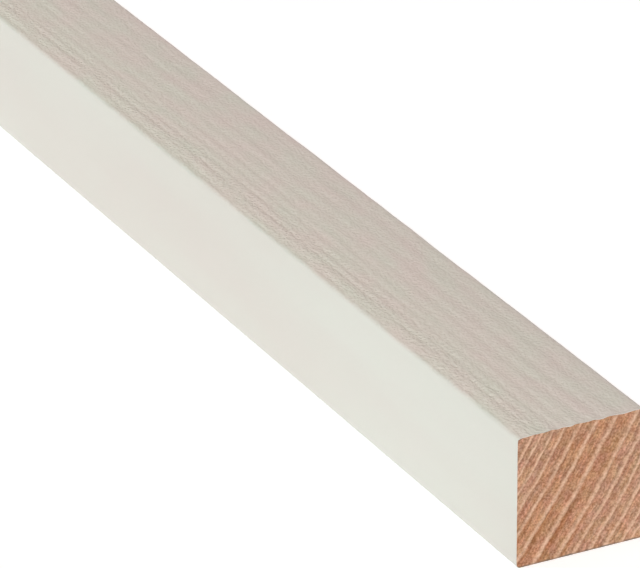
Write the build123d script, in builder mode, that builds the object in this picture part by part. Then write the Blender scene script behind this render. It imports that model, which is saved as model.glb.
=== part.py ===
from build123d import *

import os

# A square moulding: one length of planed pine, painted on its four long faces and sawn off
# square at both ends. X runs along the stick and Z is up. The origin is under the middle of
# the stick, on the face that it lies on.

# Driving dimensions, in millimetres
SECTION_SIDE = 21.0  # width and height of the square section, over the paint
STOCK_LENGTH = 900.0  # from one sawn end to the other
ARRIS_RADIUS = 0.6  # rounding of the four long edges, which are eased so that paint holds

# The section is drawn at the far end, standing on the floor line, and runs the whole length
far_end = Plane.YZ.offset(-STOCK_LENGTH / 2)

with BuildPart() as square_moulding:
    with BuildSketch(far_end) as section:
        Rectangle(SECTION_SIDE, SECTION_SIDE, align=(Align.CENTER, Align.MIN))
        fillet(section.vertices(), radius=ARRIS_RADIUS)
    extrude(amount=STOCK_LENGTH)
square_moulding.part.label = "square_moulding"

os.makedirs("parts", exist_ok=True)
export_step(square_moulding.part, "parts/square_moulding.step")

box = square_moulding.part.bounding_box()
print("square_moulding", box.size, "volume", round(square_moulding.part.volume), "mm3")
print("lies from", box.min, "to", box.max, "faces", len(square_moulding.faces()))
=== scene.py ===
# %% [markdown]
# # Dressing a painted square moulding
# A square moulding is a planed stick of pine. It is painted white on its four long faces and
# then sawn to length, so bare wood with growth rings shows at both ends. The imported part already
# has the true section, rounded edges and length. What it lacks is what the eye reads as painted
# wood: grain that stands up under the paint, and rings and pores in the sawn ends. One fine skin
# mesh and two materials add these, and the part itself is never moved or resized.

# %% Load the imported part
import math

import bpy
import numpy as np
from mathutils import Matrix, Vector


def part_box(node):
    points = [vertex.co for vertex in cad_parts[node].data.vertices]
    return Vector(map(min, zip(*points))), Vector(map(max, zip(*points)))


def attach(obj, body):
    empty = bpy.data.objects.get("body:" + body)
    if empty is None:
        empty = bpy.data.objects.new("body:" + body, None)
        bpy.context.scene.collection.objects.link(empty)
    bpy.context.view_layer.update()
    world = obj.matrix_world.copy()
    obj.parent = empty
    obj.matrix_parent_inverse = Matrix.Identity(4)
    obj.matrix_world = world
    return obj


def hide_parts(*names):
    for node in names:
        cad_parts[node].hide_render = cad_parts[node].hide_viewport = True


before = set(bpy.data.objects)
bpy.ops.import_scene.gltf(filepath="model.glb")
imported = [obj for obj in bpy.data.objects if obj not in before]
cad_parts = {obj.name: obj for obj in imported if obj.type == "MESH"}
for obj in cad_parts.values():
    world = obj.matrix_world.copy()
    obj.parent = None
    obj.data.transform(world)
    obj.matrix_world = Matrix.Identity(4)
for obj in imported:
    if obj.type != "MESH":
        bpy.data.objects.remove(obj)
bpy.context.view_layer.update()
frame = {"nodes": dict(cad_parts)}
print("loaded", ", ".join(frame["nodes"]))

# %% [markdown]
# ## The stick's own sizes
# A maker would lay a rule on the stick first. Its sizes could be typed in again here, but then
# they might one day differ from the part's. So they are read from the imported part: its box gives
# the length and the side, and the points of its top face show where the rounded edges begin.

# %% Measure the stick
MM = 0.001  # the sizes below are in millimetres, and Blender works in metres
STICK = "square_moulding"
SAME_LEVEL = 1e-6  # in metres: points this close to the top belong to the top face

stick_low, stick_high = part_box(STICK)
SIDE = (stick_high[2] - stick_low[2]) / MM
LENGTH = (stick_high[0] - stick_low[0]) / MM
NEAR_END = stick_high[0] / MM
stick_points = [point.co for point in frame["nodes"][STICK].data.vertices]
top_y = [point.y / MM for point in stick_points if point.z > stick_high[2] - SAME_LEVEL]
HALF_FLAT = max(top_y)  # half of the flat part of a face, between two rounded edges
EDGE_RADIUS = SIDE / 2 - HALF_FLAT
print(f"{STICK}: {LENGTH:.1f} mm long, {SIDE:.1f} mm square, edges rounded by {EDGE_RADIUS:.2f} mm")

# %% [markdown]
# ## The camera
# The photograph was taken from far off with a long lens, because the long edges hardly converge.
# The camera could be placed by eye, but a camera that is a little off makes every later
# comparison hard to read. So the edges' directions were fitted once, and the result is written as
# a photographer would give it: what is in the middle of the picture, from which side and how high
# the camera looks, how far away it is, and its lens.

# %% Place the camera
AIM_FROM_NEAR_END = 59.36  # the picture's middle lies beside the front top edge, this far along it
AIM_OFF_FRONT_EDGE = 1.08
CAMERA_AZIMUTH = math.radians(63.066)  # 0 looks along +Y, and 90 degrees looks along -X
CAMERA_ELEVATION = math.radians(24.834)
CAMERA_ROLL = math.radians(-0.455)
CAMERA_DISTANCE = 788.73
CAMERA_LENS = 294.0
SENSOR_WIDTH = 36.0
CAMERA_REACH = 1000.0  # in metres, well past the floor's far side

aim = Vector((NEAR_END - AIM_FROM_NEAR_END, -SIDE / 2 - AIM_OFF_FRONT_EDGE, SIDE)) * MM
heading = Matrix.Rotation(CAMERA_AZIMUTH, 3, "Z")
tilt = Matrix.Rotation(math.pi / 2 - CAMERA_ELEVATION, 3, "X")
turn = heading @ tilt @ Matrix.Rotation(CAMERA_ROLL, 3, "Z")
camera_place = aim + turn @ Vector((0, 0, CAMERA_DISTANCE * MM))
lens = bpy.data.cameras.new("camera")
lens.sensor_width = SENSOR_WIDTH
lens.lens = CAMERA_LENS
lens.clip_end = CAMERA_REACH
camera = bpy.data.objects.new("camera", lens)
camera.matrix_world = Matrix.Translation(camera_place) @ turn.to_4x4()
bpy.context.scene.collection.objects.link(camera)
bpy.context.scene.camera = camera
print("camera at", [round(value, 3) for value in camera_place])

# %% [markdown]
# ## Growth rings as a formula
# A tree adds one ring a year round its pith. The pith of this stick's tree lay outside the stick,
# up and to the left of the near end, so the rings cross the end as slightly bent slanting lines.
# An image of rings could be drawn, but it would fit one face only. A formula fits all of them:
# measure how far a point is from the pith, add a little waviness, and look up which year that
# distance belongs to. The same formula is used twice, here for the relief and further on in shader
# nodes for the colours, so lines on the end run on over the edges into ridges on the faces.

# %% Growth rings for the relief
RING_SLANT = math.radians(57.0)  # how steeply the rings climb from left to right on the near end
PITH_DISTANCE = 170.0  # from the pith to the middle of the near end
# One width for each year; after the last one they start again
RING_WIDTHS = (1.2, 1.65, 1.6, 2.15, 2.35, 2.75, 3.15, 2.35, 2.2, 2.05, 2.35)
FIRST_RING = -11.79  # where the first of them starts, from the middle of the near end
WAVES = (  # height, wavelength along the ring, wavelength along the stick, and start of each wave
    (0.36, 400.0, 260.0, 1.6),
    (0.06, 13.0, 330.0, 0.4),
    (0.035, 5.3, 140.0, 2.1),
    (0.02, 2.3, 61.0, 4.4),
)
RINGS_SPAN = sum(RING_WIDTHS)
RING_STARTS = np.concatenate(([0.0], np.cumsum(RING_WIDTHS))) / RINGS_SPAN
OUT_Y, OUT_Z = math.sin(RING_SLANT), -math.cos(RING_SLANT)  # the direction away from the pith
PITH_Y = -PITH_DISTANCE * OUT_Y
PITH_Z = SIDE / 2 - PITH_DISTANCE * OUT_Z


def ring_phase(x, y, z):
    """How far each point is through its year's ring, from 0 to 1; a pale line lies where it starts."""
    along = y * -OUT_Z + z * OUT_Y
    back = NEAR_END - x
    distance = np.hypot(y - PITH_Y, z - PITH_Z) - PITH_DISTANCE
    for size, on_ring, on_stick, start in WAVES:
        distance = distance + size * np.sin(2 * math.pi * (along / on_ring + back / on_stick) + start)
    span = (distance - FIRST_RING) / RINGS_SPAN
    return np.interp(span % 1.0, RING_STARTS, np.arange(len(RING_STARTS))) % 1.0


print(f"{len(RING_WIDTHS)} rings take up {RINGS_SPAN:.1f} mm")

# %% [markdown]
# ## Random streaks
# Wet paint makes the wood's fibres swell, and they stay up in streaks, about half a millimetre wide
# and some millimetres long. A bump map alone could fake them, but then the edges and the mesh
# itself would stay perfectly straight. So the larger streaks are real hollows in the skin, and only
# the finest fibres are left to bump. This helper makes the random heights: it draws a number for
# each streak and blends gently from one to the next. The last column of streaks meets the first,
# so no seam shows on any side.

# %% Random streaks along the grain
PERIMETER = 4 * SIDE
SPARE_STREAKS = 4  # past the far end, because each column of streaks is shifted by a random amount


def ease(share):
    """Turns a straight blend from 0 to 1 into one that starts and stops gently."""
    return share * share * (3 - 2 * share)


def streaks(back, way_round, length, width, seed):
    """Smooth random heights from 0 to 1 in streaks along the stick, which meet round the section."""
    draw = np.random.default_rng(seed)
    columns = round(PERIMETER / width)
    heights = draw.uniform(0, 1, (int(LENGTH / length) + SPARE_STREAKS, columns))
    shifts = draw.uniform(0, 1, columns)
    place = way_round / PERIMETER * columns
    left = np.floor(place).astype(int)
    pair = []
    for column in (left % columns, (left + 1) % columns):
        step = back / length + shifts[column]
        row = np.floor(step).astype(int)
        share = ease(step - row)
        pair.append(heights[row, column] * (1 - share) + heights[row + 1, column] * share)
    share = ease(place - left)
    return pair[0] * (1 - share) + pair[1] * share


print(f"streaks meet after {PERIMETER:.1f} mm round the section")

# %% [markdown]
# ## Where the grain is raised
# The four faces don't show raised grain equally. The top shows it plainly, most of all in a strip
# along its front edge, and the front is nearly smooth. The back and the underside are a guess. The
# strength could be painted onto the mesh by hand, but a rule for each point of the section does
# the same and can be read. On a rounded edge the rougher face's grain reaches most of the way
# round, and only then gives way to the smoother face.

# %% Strength of the raised grain
FACES = {"top": 1.0, "back": 0.6, "underside": 0.1, "front": 0.12}  # in turn round the section
STRIP_PLACE = 3.2  # on the top, from the front face to the middle of the strip
STRIP_REACH = 2.2
STRIP_EXTRA = 0.8


def strength_on_flat(face, y):
    """How strongly the grain is raised at one place on a flat face."""
    from_strip = (y + SIDE / 2 - STRIP_PLACE) / STRIP_REACH
    extra = STRIP_EXTRA * math.exp(-from_strip**2) if face == "top" else 0.0
    return FACES[face] * (1 + extra)


def strength_on_edge(face, next_face, share):
    """The same on a rounded edge, where share runs from 0 to 1 between its two faces."""
    smoother, rougher = sorted((FACES[face], FACES[next_face]))
    to_smoother = share if FACES[next_face] < FACES[face] else 1 - share
    return rougher - (rougher - smoother) * to_smoother**2


print("strongest on the", max(FACES, key=FACES.get), "and weakest on the", min(FACES, key=FACES.get))

# %% [markdown]
# ## The outline of the section
# Round the section go four flat faces and four rounded edges. A Bevel modifier could round the
# edges of a box, but its points wouldn't be where the relief needs them. So the points are set one
# by one, each with the direction that it faces and its strength of raised grain. Every flat has
# the same columns of points, so that a square grid of the same pitch closes the sawn ends without
# a seam.

# %% Walk round the section
FLAT_COLUMNS = 72
EDGE_STEPS = 5

outline = []  # y, z, outward y, outward z, strength of the raised grain
face_names = list(FACES)
for number, face in enumerate(face_names):
    next_face = face_names[(number + 1) % len(face_names)]
    facing = math.pi / 2 * (1 - number)
    out_y, out_z = round(math.cos(facing)), round(math.sin(facing))
    right_y, right_z = out_z, -out_y
    for offset in np.linspace(-HALF_FLAT, HALF_FLAT, FLAT_COLUMNS + 1):
        y = out_y * SIDE / 2 + right_y * offset
        z = out_z * SIDE / 2 + right_z * offset + SIDE / 2
        outline.append((y, z, out_y, out_z, strength_on_flat(face, y)))
    for step in range(1, EDGE_STEPS):
        share = step / EDGE_STEPS
        angle = facing - share * math.pi / 2
        y = (out_y + right_y) * HALF_FLAT + math.cos(angle) * EDGE_RADIUS
        z = (out_z + right_z) * HALF_FLAT + math.sin(angle) * EDGE_RADIUS + SIDE / 2
        strength = strength_on_edge(face, next_face, share)
        outline.append((y, z, math.cos(angle), math.sin(angle), strength))
section_y, section_z, facing_y, facing_z, grain_strength = np.array(outline).T
COLUMNS = len(outline)
gaps = np.hypot(np.diff(section_y, append=section_y[0]), np.diff(section_z, append=section_z[0]))
way_round = np.concatenate(([0.0], np.cumsum(gaps))) / gaps.sum() * PERIMETER
pitch = 2 * HALF_FLAT / FLAT_COLUMNS
print(f"{COLUMNS} points round the section, {pitch:.3f} mm apart on the flats")

# %% [markdown]
# ## Rows along the stick
# Copies of the outline stand one behind the other along the stick. Evenly spaced, they would
# either be too far apart for the streaks or make too many triangles. So they are close together
# over the length that the camera sees and at the far end, and spread out between, where no close
# view goes.

# %% Space the rows
FINE_STEP = 1.2  # between the first rows, at the near end
FINE_RUN = 190.0  # how far back the fine rows go
STEP_GROWTH = 0.033  # beyond that, the step grows by this share of the way past the fine run
FAR_END_GROWTH = 0.12  # but by no more than this share of the way that is left to the far end

rows = [0.0]
while rows[-1] < LENGTH:
    past_fine_run = max(0.0, rows[-1] - FINE_RUN)
    to_far_end = LENGTH - rows[-1]
    growth = min(past_fine_run * STEP_GROWTH, to_far_end * FAR_END_GROWTH)
    rows.append(rows[-1] + FINE_STEP + growth)
rows = np.array(rows) * LENGTH / rows[-1]
row_steps = np.diff(rows)
print(f"{len(rows)} rows, from {row_steps.min():.2f} to {row_steps.max():.2f} mm apart")

# %% [markdown]
# ## Ridges along the rings
# Each ring has soft wood and hard wood. The planer presses the hard wood into the soft, and later
# it comes up again, so under the paint each year shows as a broad, shallow ridge along the stick.
# The ridges could be drawn as straight lines, but real ones wander with the rings. Here they follow
# the ring formula, as a sine wave over each year, and a long random streak makes them deeper in one
# place than in another.

# %% Ridges along the rings
RIDGE_DEPTH = 0.075
SHALLOWEST_RIDGE = 0.5  # a share of that depth, to which the random streak adds from 0 to 1
LONG_STREAK = (9.0, 0.8)  # length and width
LONG_SEED = 4

back = rows[:, None] * np.ones(COLUMNS)
skin_x = NEAR_END - back
skin_phase = ring_phase(skin_x, section_y, section_z)
steps_down = (1 + np.sin(2 * math.pi * skin_phase)) / 2
long_streaks = streaks(back, way_round[:-1], *LONG_STREAK, seed=LONG_SEED)
ridges = RIDGE_DEPTH * steps_down * (SHALLOWEST_RIDGE + long_streaks)
print(f"ridges up to {ridges.max():.3f} mm deep")

# %% [markdown]
# ## Streaks of raised fibres
# Between and across the ridges lie the small streaks of swollen fibres. They are a mix of short
# and long random streaks. Where rows are too far apart to show a short streak, it would only turn
# into jagged noise, so it fades out there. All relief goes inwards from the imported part's surface,
# which keeps the size as it is, and the highest fibres stay level with that surface.

# %% Streaks of raised fibres
STREAK_DEPTH = 0.09
SHORT_STREAK = (2.5, 0.55)  # length and width
SHORT_SEED = 3
SHORT_SHARE, LONG_SHARE = 0.6, 0.4
SHORT_FADE = 1.4  # in lengths of a short streak: with rows this far apart, none of them is left
HIGHEST_FIBRES = 0.03  # taken off the depths, so that the highest fibres are level with the part

short_streaks = streaks(back, way_round[:-1], *SHORT_STREAK, seed=SHORT_SEED)
rows_apart = np.gradient(rows)[:, None] / SHORT_STREAK[0]
short_left = np.clip(SHORT_FADE - rows_apart, 0, 1)
random_depth = SHORT_SHARE * short_streaks * short_left + LONG_SHARE * long_streaks
hollows = np.clip(ridges + STREAK_DEPTH * random_depth - HIGHEST_FIBRES, 0, None)
print(f"hollows up to {hollows.max():.3f} mm deep where the strength is 1")

# %% [markdown]
# ## Worn edges
# Handling wears the long edges, in small patches and most of all along the top's front edge. The
# rounding of the part could be made larger there, but then the whole edge would look soft. Patches
# of random streaks, squared so that only the strongest count, dent the edge here and there. The
# hollows and the wear together then move each point of the skin inwards.

# %% Wear the edges and sink the skin
FRONT_EDGE_WEAR = 0.18
EDGE_WEAR = 0.02
WEAR_REACH = 0.5  # how far from a rounded edge its wear reaches into the flats
WEAR_PATCH = (2.4, 1.0)  # length and width
WEAR_SEED = 5

off_middle = np.minimum(np.abs(section_y), np.abs(section_z - SIDE / 2))
to_edge = np.clip(HALF_FLAT - off_middle, 0, None)
top_front = (section_y < 0) & (section_z > SIDE / 2)
wear_depth = np.where(top_front, FRONT_EDGE_WEAR, EDGE_WEAR)
wear_patches = streaks(back, way_round[:-1], *WEAR_PATCH, seed=WEAR_SEED) ** 2
wear = wear_depth * np.exp(-to_edge / WEAR_REACH) * wear_patches
depth = grain_strength * hollows + wear
skin_y = section_y - facing_y * depth
skin_z = section_z - facing_z * depth
print(f"relief up to {depth.max():.3f} mm deep")

# %% [markdown]
# ## The skin
# The four long faces are one tube of four-sided faces, from row to row and from column to column.
# A grid object bent round the stick would do too, but its first and last columns would have to be
# welded. Here the last column's faces simply lead back to the first column.

# %% Build the skin
point_groups = [np.stack([skin_x, skin_y, skin_z], axis=-1).reshape(-1, 3)]
row_number, column = np.meshgrid(np.arange(len(rows) - 1), np.arange(COLUMNS), indexing="ij")
here = row_number * COLUMNS + column
beside = row_number * COLUMNS + (column + 1) % COLUMNS
skin_faces = np.stack([here, beside, beside + COLUMNS, here + COLUMNS], axis=-1).reshape(-1, 4)
print(len(skin_faces), "faces in the skin")

# %% [markdown]
# ## A grid for the sawn ends
# Each sawn end could be one large face, but then its rings could have no relief. So it is a square
# grid, with a strip of faces round it. Every point of the outline has one partner on the grid's
# border, and round a corner all points share the corner as partner.

# %% Lay out the grid of an end
grid_steps = np.linspace(-HALF_FLAT, HALF_FLAT, FLAT_COLUMNS + 1)
grid_y, grid_z = np.meshgrid(grid_steps, grid_steps + SIDE / 2, indexing="ij")


def nearest_step(offset):
    """The number of the grid's step that lies nearest, for distances from the section's middle."""
    return np.rint((np.clip(offset, -HALF_FLAT, HALF_FLAT) + HALF_FLAT) / pitch).astype(int)


partner_column = nearest_step(section_y)
partner_row = nearest_step(section_z - SIDE / 2)
print("each end has a grid of", grid_y.size, "points")

# %% [markdown]
# ## The edge of the paint
# The saw cuts through the paint too, so a thin white rim frames the bare wood. A colour change on
# the flat end could show it, but its edge would be dead straight, and a saw tears paint. So the rim
# is a loop of points of its own, inside the skin by the paint's thickness, which varies at random.
# On the top the paint is thickest, because the raised grain holds more of it.

# %% Inner edge of the paint
TOP_FILM = 0.1  # thickness of the paint, on average
OTHER_FILM = 0.015
FACES_UP = 0.5  # points whose outward direction climbs by more than this belong to the top
THINNEST_FILM, FILM_SPREAD = 0.3, 1.4  # shares of the average: the least, and the most that chance adds
FILM_STREAK = (9.0, 0.9)  # length and width
FILM_SEED = 8


def film_points(end_x, row):
    """The loop where the paint ends and the bare wood begins."""
    film = np.where(facing_z > FACES_UP, TOP_FILM, OTHER_FILM)
    raggedness = streaks(back[row], way_round[:-1], *FILM_STREAK, seed=FILM_SEED)
    film = film * (THINNEST_FILM + FILM_SPREAD * raggedness)
    film_y = skin_y[row] - facing_y * film
    film_z = skin_z[row] - facing_z * film
    return np.stack([np.full(COLUMNS, end_x), film_y, film_z], axis=-1)


print(f"paint film up to {TOP_FILM * (THINNEST_FILM + FILM_SPREAD):.2f} mm thick")

# %% [markdown]
# ## The relief of the sawn wood
# The saw tears out soft wood and leaves the hard pale lines standing, and it opens pores. Bump
# could shade this, but light from the side would still meet a flat end. So the grid's points sink
# between the lines, by the same ring formula as before, and a little more at random for the pores.

# %% Sink the wood between the lines
LINE_RELIEF = 0.05  # the hard pale lines stand this far above the softer wood
LINE_SLOPE = 5  # the wood reaches its depth within a fifth of a year from a line
PORE_RELIEF = 0.04
PORE_SEED = 11


def wood_points(end_x, row, outward):
    """The grid of one end, sunk between the pale lines."""
    phase = ring_phase(end_x, grid_y, grid_z)
    soft_wood = np.clip(np.minimum(phase, 1 - phase) * LINE_SLOPE, 0, 1)
    pore_depth = np.random.default_rng(PORE_SEED + row).uniform(0, 1, grid_y.shape)
    sunk = soft_wood * (LINE_RELIEF + PORE_RELIEF * pore_depth)
    return np.stack([end_x - outward * sunk, grid_y, grid_z], axis=-1).reshape(-1, 3)


print(f"sawn wood sunk by up to {LINE_RELIEF + PORE_RELIEF:.2f} mm")

# %% [markdown]
# ## A ring of faces
# Twice at each end, one loop of points is joined to the next one inside it. Blender's Bridge Edge
# Loops tool does that for loops of any kind, but it may pair the points differently from the list
# of partners. Here each point is joined to its own partner. Where two neighbours share one partner,
# at the corners, the four-sided face becomes a triangle.

# %% Helper for a ring of faces
following = np.roll(np.arange(COLUMNS), -1)


def ring_of_faces(outer, inner, outward):
    """Faces between two loops of points; where two inner points are the same one, a triangle."""
    faces = []
    for j, k in enumerate(following):
        face = [outer[j], inner[j], inner[k], outer[k]]
        if inner[j] == inner[k]:
            face.remove(inner[k])
        faces.append(face if outward > 0 else face[::-1])
    return faces


print("a ring has", len(following), "faces")

# %% [markdown]
# ## Closing both ends
# A tube with open ends would show its inside, and its volume couldn't be measured. Each end is
# closed from the outside in: the rim of paint, the strip from the rim to the grid, and the grid.
# The far end is built in the same way, with its faces turned over so that they look outwards.

# %% Close both ends
ENDS = ((NEAR_END, 0, 1), (NEAR_END - LENGTH, len(rows) - 1, -1))  # place, row, outward direction

rim_faces = []
end_faces = []
for end_x, row, outward in ENDS:
    total = sum(len(group) for group in point_groups)
    edge_loop = np.arange(COLUMNS) + row * COLUMNS
    film_loop = np.arange(COLUMNS) + total
    grid = np.arange(grid_y.size).reshape(grid_y.shape) + total + COLUMNS
    point_groups += [film_points(end_x, row), wood_points(end_x, row, outward)]
    cells = np.stack([grid[:-1, :-1], grid[1:, :-1], grid[1:, 1:], grid[:-1, 1:]], axis=-1).reshape(-1, 4)
    rim_faces += ring_of_faces(edge_loop, film_loop, outward)
    end_faces += ring_of_faces(film_loop, grid[partner_column, partner_row], outward)
    end_faces += (cells if outward > 0 else cells[:, ::-1]).tolist()
points = np.concatenate(point_groups)
print(len(rim_faces), "faces in the rims,", len(end_faces), "in the ends")

# %% [markdown]
# ## One closed mesh
# All points and faces become one mesh, because the real stick is one piece. Smooth shading hides
# the single faces, but across the sawn edge it would round off the light. So the edges round both
# ends are marked as sharp, which keeps the cut crisp without any extra points.

# %% Make the mesh
mesh = bpy.data.meshes.new("painted_moulding")
mesh.from_pydata((points * MM).tolist(), [], skin_faces.tolist() + rim_faces + end_faces)
mesh.shade_smooth()
edge_points = np.zeros(len(mesh.edges) * 2, int)
mesh.edges.foreach_get("vertices", edge_points)
edge_rows = edge_points.reshape(-1, 2) // COLUMNS
on_sawn_edge = np.all(edge_rows == 0, axis=1) | np.all(edge_rows == len(rows) - 1, axis=1)
mesh.edges.foreach_set("use_edge_sharp", on_sawn_edge)
moulding = bpy.data.objects.new("painted_moulding", mesh)
bpy.context.scene.collection.objects.link(moulding)
mesh.calc_loop_triangles()
triangles = len(mesh.loop_triangles)
print(len(mesh.vertices), "points,", triangles, "triangles,", on_sawn_edge.sum(), "sharp edges")

# %% [markdown]
# ## Telling the paint where the grain is raised
# The paint has to know how rough the wood under it is. It could work that out from the direction
# of each face, but the strip along the front edge would be lost. A mesh attribute carries the
# strength of each point to the material, where an Attribute node reads it.

# %% Store the strength on the mesh
RAISED_GRAIN = "raised_grain"

grain = mesh.attributes.new(RAISED_GRAIN, "FLOAT", "POINT")
grain_values = np.zeros(len(mesh.vertices))
grain_values[:len(rows) * COLUMNS] = np.tile(grain_strength, len(rows))
grain.data.foreach_set("value", grain_values)
print(f"raised grain from {grain_strength.min():.2f} to {grain_strength.max():.2f}")

# %% [markdown]
# ## A map for baked textures
# The materials need no map, because they work from the position in space. Baking them into an
# image does, and an automatic unwrapping would squeeze a stick this long into a few pixels across.
# So the skin is unrolled and cut into two strips that lie one above the other.

# %% Unroll the skin
MARGIN = 0.006  # round each strip and square, as a share of the map's width
END_SQUARE = 0.235  # the side of the square for an end, as a share of the same

middle_row = int(np.argmin(np.abs(rows - LENGTH / 2)))
strip_height = (1 - END_SQUARE - 4 * MARGIN) / 2
in_far_half = (row_number >= middle_row).reshape(-1)
strip_from = np.where(in_far_half, rows[middle_row], 0.0)
strip_to = np.where(in_far_half, LENGTH, rows[middle_row])
strip_low = END_SQUARE + 2 * MARGIN + in_far_half * (strip_height + MARGIN)
corner_rows = np.stack([row_number, row_number, row_number + 1, row_number + 1], axis=-1).reshape(-1, 4)
corner_columns = np.stack([column, column + 1, column + 1, column], axis=-1).reshape(-1, 4)
run = (rows[corner_rows] - strip_from[:, None]) / (strip_to - strip_from)[:, None]
skin_u = MARGIN + run * (1 - 2 * MARGIN)
skin_v = strip_low[:, None] + way_round[corner_columns] / PERIMETER * strip_height
print(f"two strips, each {strip_height:.3f} of the map high")

# %% [markdown]
# ## The ends on the map
# Each sawn end gets a square of its own below the strips. It could have the scale of the strips, but
# the rings and pores are the finest detail on the stick, so the square is made larger.

# %% Map the ends
corner_points = np.zeros(len(mesh.loops), int)
mesh.loops.foreach_get("vertex_index", corner_points)
end_points = points[corner_points[skin_u.size:]]
at_far_end = end_points[:, 0] < 0
end_u = MARGIN + (end_points[:, 1] / SIDE + 0.5) * END_SQUARE + at_far_end * (END_SQUARE + MARGIN)
end_v = MARGIN + end_points[:, 2] / SIDE * END_SQUARE
skin_map = np.stack([skin_u, skin_v], axis=-1).reshape(-1, 2)
flat_map = np.concatenate([skin_map, np.stack([end_u, end_v], axis=-1)])
bake_map = mesh.uv_layers.new(name="OFBake")
bake_map.uv.foreach_set("vector", flat_map.astype(np.float32).reshape(-1))
print("map from", flat_map.min(axis=0).round(3), "to", flat_map.max(axis=0).round(3))

# %% [markdown]
# ## Helpers for shader nodes
# A material is a net of nodes. Each node could be added by hand in the Shader Editor, but code
# gives the same net every time. These helpers add one node, set it up, plug in its inputs and give
# back its output, so that the nets below read from top to bottom like a recipe.

# %% Helpers for single nodes
def add(tree, kind, feeds=None, **settings):
    """Adds a node; feeds maps an input's name or number to a value or to another node's output."""
    made = tree.nodes.new(kind)
    for name, value in settings.items():
        setattr(made, name, value)
    for socket, value in (feeds or {}).items():
        if isinstance(value, bpy.types.NodeSocket):
            tree.links.new(value, made.inputs[socket])
        else:
            made.inputs[socket].default_value = value
    return made


def calculate(tree, operation, *values):
    """The result of one math node."""
    return add(tree, "ShaderNodeMath", dict(enumerate(values)), operation=operation).outputs[0]


def calculate_vector(tree, operation, first, second):
    """The result of one vector math node; for a distance or a dot product it is a number."""
    second_input = "Scale" if operation == "SCALE" else 1
    made = add(tree, "ShaderNodeVectorMath", {0: first, second_input: second}, operation=operation)
    return made.outputs["Value" if operation in ("DISTANCE", "DOT_PRODUCT") else "Vector"]


def position_in_mm(tree):
    """Where each point lies on the stick, in millimetres."""
    position = add(tree, "ShaderNodeTexCoord").outputs["Object"]
    return calculate_vector(tree, "SCALE", position, 1 / MM)


print("helpers for single nodes:", add.__name__, calculate.__name__, calculate_vector.__name__)

# %% [markdown]
# ## Helpers for node groups
# A node group is a net with inputs and outputs of its own. The same nodes could be added to each
# material again, but a group is built once and placed where it is needed, with other values each
# time.

# %% Helpers for node groups
def new_group(name, inputs, outputs):
    """A shader node group with named number sockets; gives the group and its two inner ends."""
    group = bpy.data.node_groups.new(name, "ShaderNodeTree")
    for socket, value in inputs.items():
        made = group.interface.new_socket(socket, in_out="INPUT", socket_type="NodeSocketFloat")
        made.default_value = value
    for socket in outputs:
        group.interface.new_socket(socket, in_out="OUTPUT", socket_type="NodeSocketFloat")
    return group, group.nodes.new("NodeGroupInput"), group.nodes.new("NodeGroupOutput")


def place_group(tree, group, feeds):
    """Puts a node group into a material or another group, with its own values."""
    return add(tree, "ShaderNodeGroup", feeds, node_tree=group)


print("helpers for groups:", new_group.__name__, place_group.__name__)

# %% [markdown]
# ## Shared effect: long fibres
# Wood is a bundle of fibres. Noise that is stretched along the stick gives streaks on the long
# faces and, on a cut across, the round pores of the same fibres. Paint and bare wood both need it,
# each at several sizes, so it is one group with the fibre's width and length as inputs.

# %% Node group: long fibres
FIBRE_INPUTS = {"Width": 0.3, "Length": 4.0, "Detail": 2.0}

long_fibres, fibres_in, fibres_out = new_group("Long fibres", FIBRE_INPUTS, ["Fibre"])
given_width, given_length, given_detail = (fibres_in.outputs[name] for name in FIBRE_INPUTS)
size_feeds = {0: given_length, 1: given_width, 2: given_width}
fibre_size = add(long_fibres, "ShaderNodeCombineXYZ", size_feeds).outputs[0]
stretched = calculate_vector(long_fibres, "DIVIDE", position_in_mm(long_fibres), fibre_size)
noise_feeds = {"Vector": stretched, "Scale": 1.0, "Detail": given_detail}
noise = add(long_fibres, "ShaderNodeTexNoise", noise_feeds).outputs[0]
long_fibres.links.new(noise, fibres_out.inputs["Fibre"])


def fibre_noise(tree, width, length, detail=FIBRE_INPUTS["Detail"]):
    """Noise from 0 to 1 in fibres of one width and length."""
    feeds = {"Width": width, "Length": length, "Detail": detail}
    return place_group(tree, long_fibres, feeds).outputs["Fibre"]


print(long_fibres.name, "has", len(long_fibres.nodes), "nodes")

# %% [markdown]
# ## Growth rings as nodes: how far from the pith
# The colours of the sawn wood need the ring formula again, now as nodes. It is kept in a group of
# its own, because several colours below depend on it. The first half measures how far a point lies
# from the pith and adds the waves. Fray adds a fine raggedness that only colours need.

# %% Node group: growth rings, first half
FRAY_SIZE = (1.2, 30.0)  # width and length
NOISE_MIDDLE = 0.5
RING_OUTPUTS = ("Phase", "Years", "Across", "Along")

growth_rings, rings_in, rings_out = new_group("Growth rings", {"Fray": 0.0}, RING_OUTPUTS)
stick_place = position_in_mm(growth_rings)
section_place = calculate_vector(growth_rings, "MULTIPLY", stick_place, (0, 1, 1))
from_pith = calculate_vector(growth_rings, "DISTANCE", section_place, (0, PITH_Y, PITH_Z))
along_ring = calculate_vector(growth_rings, "DOT_PRODUCT", stick_place, (0, -OUT_Z, OUT_Y))
stick_x = add(growth_rings, "ShaderNodeSeparateXYZ", {0: stick_place}).outputs["X"]
behind_end = calculate(growth_rings, "SUBTRACT", NEAR_END, stick_x)
distance = calculate(growth_rings, "SUBTRACT", from_pith, PITH_DISTANCE + FIRST_RING)
for size, on_ring, on_stick, start in WAVES:
    wave_angle = calculate(growth_rings, "MULTIPLY_ADD", along_ring, 2 * math.pi / on_ring, start)
    angle_per_mm = 2 * math.pi / on_stick
    wave_angle = calculate(growth_rings, "MULTIPLY_ADD", behind_end, angle_per_mm, wave_angle)
    wave = calculate(growth_rings, "SINE", wave_angle)
    distance = calculate(growth_rings, "MULTIPLY_ADD", wave, size, distance)
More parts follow.
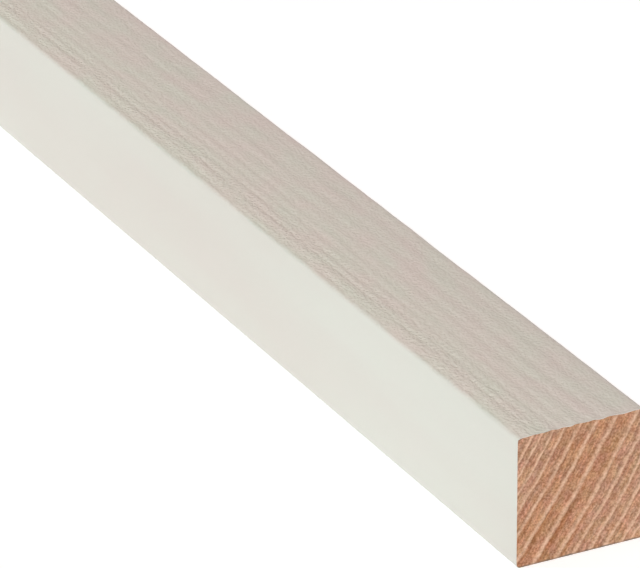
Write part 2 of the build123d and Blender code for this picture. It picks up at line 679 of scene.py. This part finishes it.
fraying = calculate(growth_rings, "SUBTRACT", fibre_noise(growth_rings, *FRAY_SIZE), NOISE_MIDDLE)
distance = calculate(growth_rings, "MULTIPLY_ADD", fraying, rings_in.outputs["Fray"], distance)
print(growth_rings.name, "measures the distance with", len(growth_rings.nodes), "nodes")

# %% [markdown]
# ## Growth rings as nodes: which year
# The second half looks up the year. One Math node for each ring would do it, but a Float Curve
# with straight pieces holds all ring widths in one node. Phase runs from 0 to 1 through each year,
# and Years from 0 to 1 through the whole set of years. Across and Along are millimetres across the
# rings and along them.

# %% Node group: growth rings, second half
rings_passed = calculate(growth_rings, "DIVIDE", distance, RINGS_SPAN)
in_set = calculate(growth_rings, "FRACT", rings_passed)
years = add(growth_rings, "ShaderNodeFloatCurve", {"Value": in_set})
curve = years.mapping.curves[0]
for number, start in enumerate(RING_STARTS[1:-1], 1):
    curve.points.new(start, number / len(RING_WIDTHS))
for point in curve.points:
    point.handle_type = "VECTOR"
years.mapping.update()
year = calculate(growth_rings, "MULTIPLY", years.outputs[0], len(RING_WIDTHS))
year_phase = calculate(growth_rings, "FRACT", year)
for socket, value in zip(RING_OUTPUTS, (year_phase, years.outputs[0], distance, along_ring)):
    growth_rings.links.new(value, rings_out.inputs[socket])
print(growth_rings.name, "has", len(growth_rings.nodes), "nodes")

# %% [markdown]
# ## Helpers for materials
# A material starts with one Principled shader. Values that are the same all over the surface, such
# as how much it shines, are set on that shader directly. What varies comes from noise, which is
# first stretched to the range that is needed, and then decides between two colours. Multiplying is
# a kind of blending that only darkens, so it suits shade and stains.

# %% Helpers for materials
def new_material(name, settings):
    """A material with some values set on its shader; gives the material, its nodes and its shader."""
    made = bpy.data.materials.new(name)
    made.use_nodes = True
    shader = made.node_tree.nodes["Principled BSDF"]
    for socket, value in settings.items():
        shader.inputs[socket].default_value = value
    return made, made.node_tree, shader


def remap(tree, value, start, stop, low=0.0, high=1.0):
    """Turns the range from start to stop into the range from low to high, and goes no further."""
    return add(tree, "ShaderNodeMapRange", {0: value, 1: start, 2: stop, 3: low, 4: high}).outputs[0]


def blend(tree, share, first, second, kind="MIX"):
    """A mix of two colours, each given as red, green and blue or as a node's output."""
    pair = [(*colour, 1) if isinstance(colour, tuple) else colour for colour in (first, second)]
    feeds = {0: share, 6: pair[0], 7: pair[1]}  # 6 and 7 are a Mix node's sockets for colours
    return add(tree, "ShaderNodeMix", feeds, data_type="RGBA", blend_type=kind).outputs[2]


print("helpers for materials:", new_material.__name__, remap.__name__, blend.__name__)

# %% [markdown]
# ## White paint: its tones
# The paint is a thin satin coat. One flat white would look like plastic, because real paint is a
# little uneven: it soaks in more deeply in some places than in others. Smooth faces drift between
# a cool and a warm white in long patches. Faces with raised grain vary between pink and olive
# whites in short patches, and they carry painted shade that darkens them a little towards the
# back. The strength of the raised grain decides between the two.

# %% White paint: tones
PAINT_SHINE = {"Specular IOR Level": 0.4}
SMOOTH_COOL, SMOOTH_WARM = (0.777, 0.792, 0.722), (0.757, 0.727, 0.667)
PATCH_SIZE = (20.0, 110.0)  # width and length
PATCH_LIMITS = (0.35, 0.65)  # noise up to the first gives the first colour, from the second on the second
ROUGH_PINK, ROUGH_OLIVE = (0.810, 0.772, 0.711), (0.778, 0.809, 0.718)
TONE_SIZE = (4.0, 9.0, 1.0)  # width, length and detail
TONE_LIMITS = (0.3, 0.7)
# painted shade: rough faces are darkened by this colour towards the back
BACK_SHADE_TONE = (0.94, 0.91, 0.933)  # rough faces are multiplied by this at the back edge

white_paint, paint_tree, paint = new_material("white_paint", PAINT_SHINE)
roughened = add(paint_tree, "ShaderNodeAttribute", attribute_name=RAISED_GRAIN).outputs["Fac"]
patches = remap(paint_tree, fibre_noise(paint_tree, *PATCH_SIZE), *PATCH_LIMITS)
smooth_paint = blend(paint_tree, patches, SMOOTH_COOL, SMOOTH_WARM)
tones = remap(paint_tree, fibre_noise(paint_tree, *TONE_SIZE), *TONE_LIMITS)
rough_paint = blend(paint_tree, tones, ROUGH_PINK, ROUGH_OLIVE)
paint_place = add(paint_tree, "ShaderNodeSeparateXYZ", {0: position_in_mm(paint_tree)}).outputs
to_back = remap(paint_tree, paint_place["Y"], -SIDE / 2, SIDE / 2)
# painted shade, darker towards the back of the stick
rough_paint = blend(paint_tree, to_back, rough_paint, BACK_SHADE_TONE, "MULTIPLY")
toned_paint = blend(paint_tree, roughened, smooth_paint, rough_paint)
print(white_paint.name, "has its tones, with", len(paint_tree.nodes), "nodes")

# %% [markdown]
# ## White paint: rubbed and shaded edges
# On the long edges of a rough face the paint is rubbed, and it is painted a shade greyer as well:
# painted shade where the rounded edge turns away from the lamps. A Bevel node or Pointiness could
# find edges, but the first is slow and the second depends on the mesh. On a square stick a point
# lies on an edge where both of its distances from the section's middle are large, so the smaller
# of the two tells. The tones make the edge uneven.

# %% White paint: rubbed and shaded edges
# painted shade and rubbed paint: the grey multiplied into the paint along the rounded edges
EDGE_SHADE_TONE = (0.925, 0.94, 0.945)  # the paint is multiplied by this on a rubbed edge
EDGE_REACH = 0.25  # how far the edge's tone reaches into the flats
LEAST_RUBBED_AND_SHADED = 0.5  # the tones add from 0 to 1 to this share

full_or_less = calculate(paint_tree, "MINIMUM", roughened, 1.0)
off_y = calculate(paint_tree, "ABSOLUTE", paint_place["Y"])
above_middle = calculate(paint_tree, "SUBTRACT", paint_place["Z"], SIDE / 2)
off_z = calculate(paint_tree, "ABSOLUTE", above_middle)
off_both = calculate(paint_tree, "MINIMUM", off_y, off_z)
on_edge = remap(paint_tree, off_both, HALF_FLAT - EDGE_REACH, HALF_FLAT + EDGE_RADIUS / 2)
uneven = calculate(paint_tree, "MULTIPLY", on_edge, calculate(paint_tree, "ADD", tones, LEAST_RUBBED_AND_SHADED))
# painted shade on the rounded edges, together with the rubbed paint
rubbed_and_shaded = calculate(paint_tree, "MULTIPLY", uneven, full_or_less)
rubbed_and_shaded_paint = blend(paint_tree, rubbed_and_shaded, toned_paint, EDGE_SHADE_TONE, "MULTIPLY")
print(white_paint.name, "has rubbed edges, with", len(paint_tree.nodes), "nodes")

# %% [markdown]
# ## White paint: the finest fibres
# Fibres finer than the mesh still show under the paint. As shapes they would need millions of
# triangles, so they are bump: a small noise that tilts the light. The same noise makes the paint
# darker in the hollows between fibres, as thinner paint and as painted shade in the hollows, and a
# little rougher on top of them.

# %% White paint: finest fibres
FINE_SIZE = (0.45, 0.5, 0.6)  # width, length and detail
HOLLOW_LIMITS = (0.62, 0.38)  # noise above the first is no hollow, and below the second a full one
# thinner paint and painted shade: the colour multiplied into the hollows between fibres
PAINT_THIN_AND_SHADED = (0.965, 0.96, 0.95)  # the paint is multiplied by this where it is thinnest
PAINT_ROUGHNESS = (0.48, 0.62)
FIBRE_HEIGHT = 0.17

fine = fibre_noise(paint_tree, *FINE_SIZE)
hollow = remap(paint_tree, fine, *HOLLOW_LIMITS)
# painted shade in the hollows, together with the thinner paint there
thin_and_shaded = calculate(paint_tree, "MULTIPLY", hollow, full_or_less)
paint_colour = blend(paint_tree, thin_and_shaded, rubbed_and_shaded_paint, PAINT_THIN_AND_SHADED, "MULTIPLY")
paint_roughness = remap(paint_tree, fine, 0.0, 1.0, *PAINT_ROUGHNESS)
raised = calculate(paint_tree, "MULTIPLY", fine, roughened)
paint_feeds = {"Strength": 1.0, "Distance": FIBRE_HEIGHT * MM, "Height": raised}
paint_bump = add(paint_tree, "ShaderNodeBump", paint_feeds).outputs[0]
paint_tree.links.new(paint_colour, paint.inputs["Base Color"])
paint_tree.links.new(paint_roughness, paint.inputs["Roughness"])
paint_tree.links.new(paint_bump, paint.inputs["Normal"])
print(white_paint.name, "has", len(paint_tree.nodes), "nodes")

# %% [markdown]
# ## Sawn pine: the colours of a year
# Across the grain the wood is orange-brown. An image of a sawn end could be stretched over it, but
# its lines wouldn't meet the ridges on the faces. The ring group says how far each point is through
# its year, and a colour ramp over that gives the year's colours: darkest just beyond a line, and
# lightest in the middle. A second ramp, over all years, makes some of them more orange.

# %% Sawn pine: colours of a year
DRY_WOOD = {"Roughness": 0.8, "Specular IOR Level": 0.25}
RING_FRAY = 0.4
WHITE = (1, 1, 1)
AFTER_LINE, SOFT_WOOD, BEFORE_LINE = (0.635, 0.37, 0.248), (0.735, 0.445, 0.311), (0.665, 0.405, 0.277)
YEAR_COLOURS = ((0.22, AFTER_LINE), (0.46, SOFT_WOOD), (0.68, BEFORE_LINE))  # place in the year
ORANGE = (0.97, 0.90, 0.823)
YEAR_TINTS = ((0.22, WHITE), (0.38, ORANGE), (0.62, ORANGE), (0.68, WHITE))  # place among the years


def ramp(tree, value, stops):
    """A colour ramp with stops given as (place, colour)."""
    made = add(tree, "ShaderNodeValToRGB", {0: value})
    elements = made.color_ramp.elements
    while len(elements) < len(stops):
        elements.new(0.5)  # anywhere, because the next lines give each stop its place
    for element, (place, colour) in zip(elements, stops):
        element.position = place
        element.color = (*colour, 1)
    return made.outputs[0]


sawn_pine, pine_tree, wood = new_material("sawn_pine", DRY_WOOD)
rings = place_group(pine_tree, growth_rings, {"Fray": RING_FRAY})
in_year = rings.outputs["Phase"]
year_colour = ramp(pine_tree, in_year, YEAR_COLOURS)
year_tint = ramp(pine_tree, rings.outputs["Years"], YEAR_TINTS)
tinted_wood = blend(pine_tree, 1.0, year_colour, year_tint, "MULTIPLY")
print(sawn_pine.name, "has its years, with", len(pine_tree.nodes), "nodes")

# %% [markdown]
# ## Sawn pine: red streaks
# Just beyond some of the lines the wood holds resin and is dark red. The streaks run along the
# rings, so their noise is measured across and along the rings and not in the stick's own
# directions. They gather in one part of the section, low and towards the front.

# %% Sawn pine: red streaks
RED_STREAK = (0.52, 0.235, 0.115)
BLACK = (0, 0, 0)
BEYOND_LINE = ((0.10, BLACK), (0.2, WHITE), (0.32, WHITE), (0.5, BLACK))  # where in the year they lie
STREAK_SIZE = (1.7, 7.0)  # across the rings and along them
STREAK_LIMITS = (0.30, 0.60)
STREAK_SHARES = (0.45, 1.0)
RESIN_PLACE = (0.0, -5.0, 4.5)
RESIN_REACH = (8.0, 2.0)  # none farther from that place than the first, full nearer than the second


def ring_noise(width, length):
    """Noise from 0 to 1 in streaks that follow the rings of the sawn wood."""
    x = calculate(pine_tree, "DIVIDE", rings.outputs["Across"], width)
    y = calculate(pine_tree, "DIVIDE", rings.outputs["Along"], length)
    place = add(pine_tree, "ShaderNodeCombineXYZ", {0: x, 1: y}).outputs[0]
    feeds = {"Vector": place, "Scale": 1.0, "Detail": 1.0}
    return add(pine_tree, "ShaderNodeTexNoise", feeds, noise_dimensions="2D").outputs[0]


wood_place = position_in_mm(pine_tree)
across_stick = calculate_vector(pine_tree, "MULTIPLY", wood_place, (0, 1, 1))
from_resin = calculate_vector(pine_tree, "DISTANCE", across_stick, RESIN_PLACE)
resin = remap(pine_tree, from_resin, *RESIN_REACH)
streak_noise = remap(pine_tree, ring_noise(*STREAK_SIZE), *STREAK_LIMITS, *STREAK_SHARES)
resin_streaks = calculate(pine_tree, "MULTIPLY", streak_noise, resin)
beyond_line = ramp(pine_tree, in_year, BEYOND_LINE)
red_share = calculate(pine_tree, "MULTIPLY", resin_streaks, beyond_line)
streaked_wood = blend(pine_tree, red_share, tinted_wood, RED_STREAK)
print(sawn_pine.name, "has red streaks, with", len(pine_tree.nodes), "nodes")

# %% [markdown]
# ## Sawn pine: pores and patches
# Cut fibres are open tubes, so dark pores speckle the whole end. Round them the wood varies in hue
# from olive to red and from pink to yellow, in patches a millimetre or two wide, and it is shaded
# in thin streaks along the rings. Each is one noise at its own size, multiplied into the colour.

# %% Sawn pine: pores and patches
PORE = (0.60, 0.50, 0.41)
PORE_SIZE = (0.3, 12.0)  # width and length
PORE_LIMITS = (0.64, 0.36)
OLIVE_PATCH, RED_PATCH = (0.96, 1.0, 0.985), (1.0, 0.935, 0.94)
PINK_PATCH, YELLOW_PATCH = (1.0, 0.98, 1.0), (1.0, 1.0, 0.90)
PATCHES = (  # two colours, and the width, length and detail of the noise that decides between them
    (OLIVE_PATCH, RED_PATCH, (1.7, 14.0, 0.5)),
    (PINK_PATCH, YELLOW_PATCH, (1.4, 23.0, 0.5)),
)
SHADE_SIZE = (0.55, 4.0)  # across the rings and along them
SHADE_LIMITS = (0.3, 0.7)
SHADES = (0.82, 1.14)

pores = fibre_noise(pine_tree, *PORE_SIZE)
speckle = remap(pine_tree, pores, *PORE_LIMITS)
patched_wood = blend(pine_tree, speckle, streaked_wood, PORE, "MULTIPLY")
for first, second, patch_size in PATCHES:
    patch = remap(pine_tree, fibre_noise(pine_tree, *patch_size), *PATCH_LIMITS)
    patch_hue = ramp(pine_tree, patch, ((0.0, first), (1.0, second)))
    patched_wood = blend(pine_tree, 1.0, patched_wood, patch_hue, "MULTIPLY")
shade = remap(pine_tree, ring_noise(*SHADE_SIZE), *SHADE_LIMITS, *SHADES)
shaded_wood = calculate_vector(pine_tree, "SCALE", patched_wood, shade)
print(sawn_pine.name, "has pores and patches, with", len(pine_tree.nodes), "nodes")

# %% [markdown]
# ## Sawn pine: pale lines
# At the turn of each year lies a thin pale line of hard wood. A hard-edged stripe would look
# printed, so the line is a ramp that falls off gently on both sides. It is laid over all the other
# colours, because hard wood has fewer pores. Here and there it fades, and a pore still breaks it.

# %% Sawn pine: pale lines
PALE_LINE = (0.84, 0.565, 0.395)
LINE_STOPS = ((0.0, WHITE), (0.035, WHITE), (0.16, BLACK), (0.8, BLACK), (0.965, WHITE))
FADE_SIZE = (1.6, 40.0)  # width and length
FADE_LIMITS = (0.40, 0.65)
FADED_LINE = 0.6  # how much of the line is left where it is most faded
BROKEN_LINE = 0.6  # and how much where a pore breaks it

fading = fibre_noise(pine_tree, *FADE_SIZE)
unfaded = remap(pine_tree, fading, *FADE_LIMITS, 1.0, FADED_LINE)
unbroken = remap(pine_tree, speckle, 0.0, 1.0, 1.0, BROKEN_LINE)
whole_line = ramp(pine_tree, in_year, LINE_STOPS)
faded_line = calculate(pine_tree, "MULTIPLY", whole_line, unfaded)
line_share = calculate(pine_tree, "MULTIPLY", faded_line, unbroken)
lined_wood = blend(pine_tree, line_share, shaded_wood, PALE_LINE)
print(sawn_pine.name, "has pale lines, with", len(pine_tree.nodes), "nodes")

# %% [markdown]
# ## Sawn pine: painted contact shadow, and the bump
# A thin grey line along the bottom of each sawn end is painted shade: the contact shadow where the
# stick lies on the floor, painted into the wood's colour. It is only a few tenths of a millimetre
# high, so a colour is enough. The pores are finer than the grid of the end, so they are bump as well
# as colour.

# %% Sawn pine: painted contact shadow and bump
# painted shade: a grey contact shadow painted along the bottom of both sawn ends
CONTACT_SHADOW_GREY = (0.21, 0.17, 0.13)
CONTACT_SHADOW_HEIGHT = 0.3  # how high the grey reaches; up to half of that it is at its fullest
SHADOW_BREAK_LIMITS = (0.35, 0.6)
SHADOW_BREAK_SHARES = (1.0, 0.5)
PORE_DEPTH = 0.05

wood_z = add(pine_tree, "ShaderNodeSeparateXYZ", {0: wood_place}).outputs["Z"]
near_floor = remap(pine_tree, wood_z, CONTACT_SHADOW_HEIGHT, CONTACT_SHADOW_HEIGHT / 2)
shadow_strength = remap(pine_tree, fading, *SHADOW_BREAK_LIMITS, *SHADOW_BREAK_SHARES)
# painted contact shadow: grey mixed into the wood's colour near the floor, broken up by noise
contact_shadow_share = calculate(pine_tree, "MULTIPLY", near_floor, shadow_strength)
pine_colour = blend(pine_tree, contact_shadow_share, lined_wood, CONTACT_SHADOW_GREY)
pine_feeds = {"Strength": 1.0, "Distance": PORE_DEPTH * MM, "Height": pores}
pine_bump = add(pine_tree, "ShaderNodeBump", pine_feeds).outputs[0]
pine_tree.links.new(pine_colour, wood.inputs["Base Color"])
pine_tree.links.new(pine_bump, wood.inputs["Normal"])
print(sawn_pine.name, "has", len(pine_tree.nodes), "nodes")

# %% [markdown]
# ## Putting the materials on
# Paint covers the long faces and the rim, and the ends are bare. Two objects could carry the two
# materials, but the stick is one piece, so each face of the one mesh has the number of its
# material. The mesh then rides on the part's only body and stands in for the imported solid, which
# is hidden.

# %% Put the materials on
mesh.materials.append(white_paint)
mesh.materials.append(sawn_pine)
painted = len(skin_faces) + len(rim_faces)
mesh.polygons.foreach_set("material_index", [0] * painted + [1] * len(end_faces))
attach(moulding, "root")
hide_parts(STICK)
print(painted, "painted faces and", len(end_faces), "bare ones")

# %% [markdown]
# ## The floor
# The stick lies on a plain pale floor, so wide that its end is lost at the horizon. Lamps strong
# enough to make a pale floor look white would bleach the paint. So the floor glows a little, as a
# lit table does, and soft light does the rest.

# %% Floor
FLOOR_SIZE = 150.0  # in metres
FLOOR_LOOK = {
    "Base Color": (0.78, 0.80, 0.82, 1),
    "Roughness": 1.0,
    "Specular IOR Level": 0.0,
    "Emission Color": (1, 1, 1, 1),
    "Emission Strength": 0.43,
}

bpy.ops.mesh.primitive_plane_add(size=FLOOR_SIZE)
floor = bpy.context.object
floor.name = "floor"
pale_sweep, _, _ = new_material("pale_sweep", FLOOR_LOOK)
floor.data.materials.append(pale_sweep)
print("floor", FLOOR_SIZE, "m wide")

# %% [markdown]
# ## The lamps
# In a studio large softboxes would stand round the stick. Area lamps could copy them, but their
# light falls off along a stick this long. Three suns with a wide angle give the same soft light
# everywhere: a cool one from the front, a warm one from above, and a weak one onto the near end.

# %% Lamps
SUNS = {  # where the light comes from, strength, colour and softness in degrees
    "front_light": ((0.25, -0.55, 0.80), 1.33, (0.90, 0.98, 0.985), 40),
    "top_light": ((0.0, 0.0, 1.0), 1.08, (1.0, 0.735, 0.655), 60),
    "end_light": ((0.90, -0.20, 0.40), 0.45, (1.0, 1.0, 1.0), 40),
}

for name, (from_side, power, tint, softness) in SUNS.items():
    sun = bpy.data.lights.new(name, "SUN")
    sun.energy = power
    sun.color = tint
    sun.angle = math.radians(softness)
    lamp = bpy.data.objects.new(name, sun)
    lamp.rotation_euler = Vector(from_side).to_track_quat("Z", "Y").to_euler()
    bpy.context.scene.collection.objects.link(lamp)
print(len(SUNS), "suns:", ", ".join(SUNS))

# %% [markdown]
# ## The sky
# Light also comes back from the walls of a studio. A sky that is white near the horizon and dark
# overhead does that: it fills the shadows on the sides, it gives low views a white background, and
# it leaves the top to the lamps. The Standard view shows colours as they are, without a film look.

# %% Sky
HORIZON, ZENITH = 1.0, 0.06
WHITE_UP_TO, DARK_FROM = 0.08, 0.26  # height of the direction, where 0 is level and 1 straight up

world = bpy.data.worlds.new("studio")
bpy.context.scene.world = world
world.use_nodes = True
sky_tree = world.node_tree
direction = add(sky_tree, "ShaderNodeTexCoord").outputs["Generated"]
direction_z = add(sky_tree, "ShaderNodeSeparateXYZ", {0: direction}).outputs["Z"]
sky = ramp(sky_tree, direction_z, ((WHITE_UP_TO, (HORIZON,) * 3), (DARK_FROM, (ZENITH,) * 3)))
sky_tree.links.new(sky, sky_tree.nodes["Background"].inputs["Color"])
bpy.context.scene.view_settings.view_transform = "Standard"
print("sky from", HORIZON, "down to", ZENITH)
